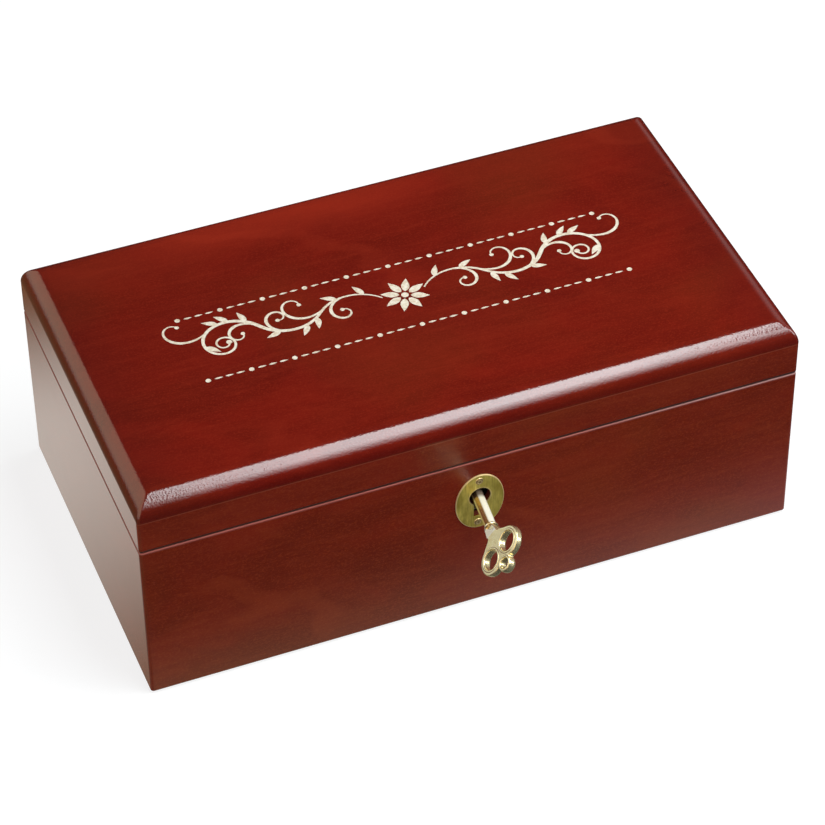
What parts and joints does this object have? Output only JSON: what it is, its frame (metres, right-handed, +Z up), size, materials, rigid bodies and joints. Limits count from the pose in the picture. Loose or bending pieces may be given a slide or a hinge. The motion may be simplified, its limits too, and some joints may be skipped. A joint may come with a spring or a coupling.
{
  "type": "keepsake box",
  "caption": "Hinged wooden keepsake box with a mitred body and lid, a round-over top board, velvet linings, an oval brass escutcheon and a lock worked by a three-hole key.",
  "frame": {"origin": "middle of the box's footprint, on the surface that it stands on", "axes": "+X to the right along the front, +Y towards the hinged back, +Z up"},
  "size_m": [0.2468, 0.1795, 0.0912],
  "materials": {
    "lacquered_wood": "satin mahogany-red lacquer",
    "bare_wood": "bare plywood",
    "polished_brass": "polished",
    "brushed_brass": "brushed upright, lacquered",
    "lock_steel": "plain",
    "velvet": "dark green velvet",
    "cream_paint": "cream paint in the lid's engraving, a piece of the dressed model alone",
    "felt": "dark green felt"
  },
  "bodies": {
    "box": {"front_wall": "lacquered_wood", "back_wall": "lacquered_wood", "left_wall": "lacquered_wood", "right_wall": "lacquered_wood", "base_panel": "bare_wood", "base_felt": "felt", "floor_pad": "velvet", "lining_front": "velvet", "lining_back": "velvet", "lining_left": "velvet", "lining_right": "velvet", "hinge_left_body_leaf": "polished_brass", "hinge_right_body_leaf": "polished_brass", "hinge_left_pin": "polished_brass", "hinge_right_pin": "polished_brass", "hinge_body_screws": "polished_brass", "lock_case": "lock_steel", "lock_back_plate": "polished_brass", "lock_key_post": "lock_steel", "lock_spring": "lock_steel", "lock_screws": "polished_brass", "escutcheon": "brushed_brass", "escutcheon_pins": "polished_brass"},
    "lid": {"lid_front_rail": "lacquered_wood", "lid_back_rail": "lacquered_wood", "lid_left_rail": "lacquered_wood", "lid_right_rail": "lacquered_wood", "lid_top_board": "lacquered_wood", "lid_lining": "velvet", "hinge_left_lid_leaf": "polished_brass", "hinge_right_lid_leaf": "polished_brass", "hinge_lid_screws": "polished_brass", "link_plate": "polished_brass", "link_plate_screws": "polished_brass"},
    "key": {"key": "polished_brass"},
    "bolt": {"lock_bolt": "polished_brass"}
  },
  "joints": [
    {"name": "lid_hinge", "type": "hinge", "parent": "box", "child": "lid", "pos_m": [0, 0.0703, 0.06938], "axis": [-1, 0, 0], "range_deg": [0, 100]},
    {"name": "key_turn", "type": "hinge", "parent": "box", "child": "key", "pos_m": [0.001, -0.0622, 0.0524], "axis": [0.0941, 0.9955, 0.0087], "range_deg": [-35, 55]},
    {"name": "bolt_slide", "type": "slide", "parent": "box", "child": "bolt", "axis": [-1, 0, 0], "range_m": [-0.00319, 0.00501]}
  ],
  "couplings": [
    {"joint": "bolt_slide", "follows": "key_turn", "m_per_rad": 0.0052203}
  ]
}
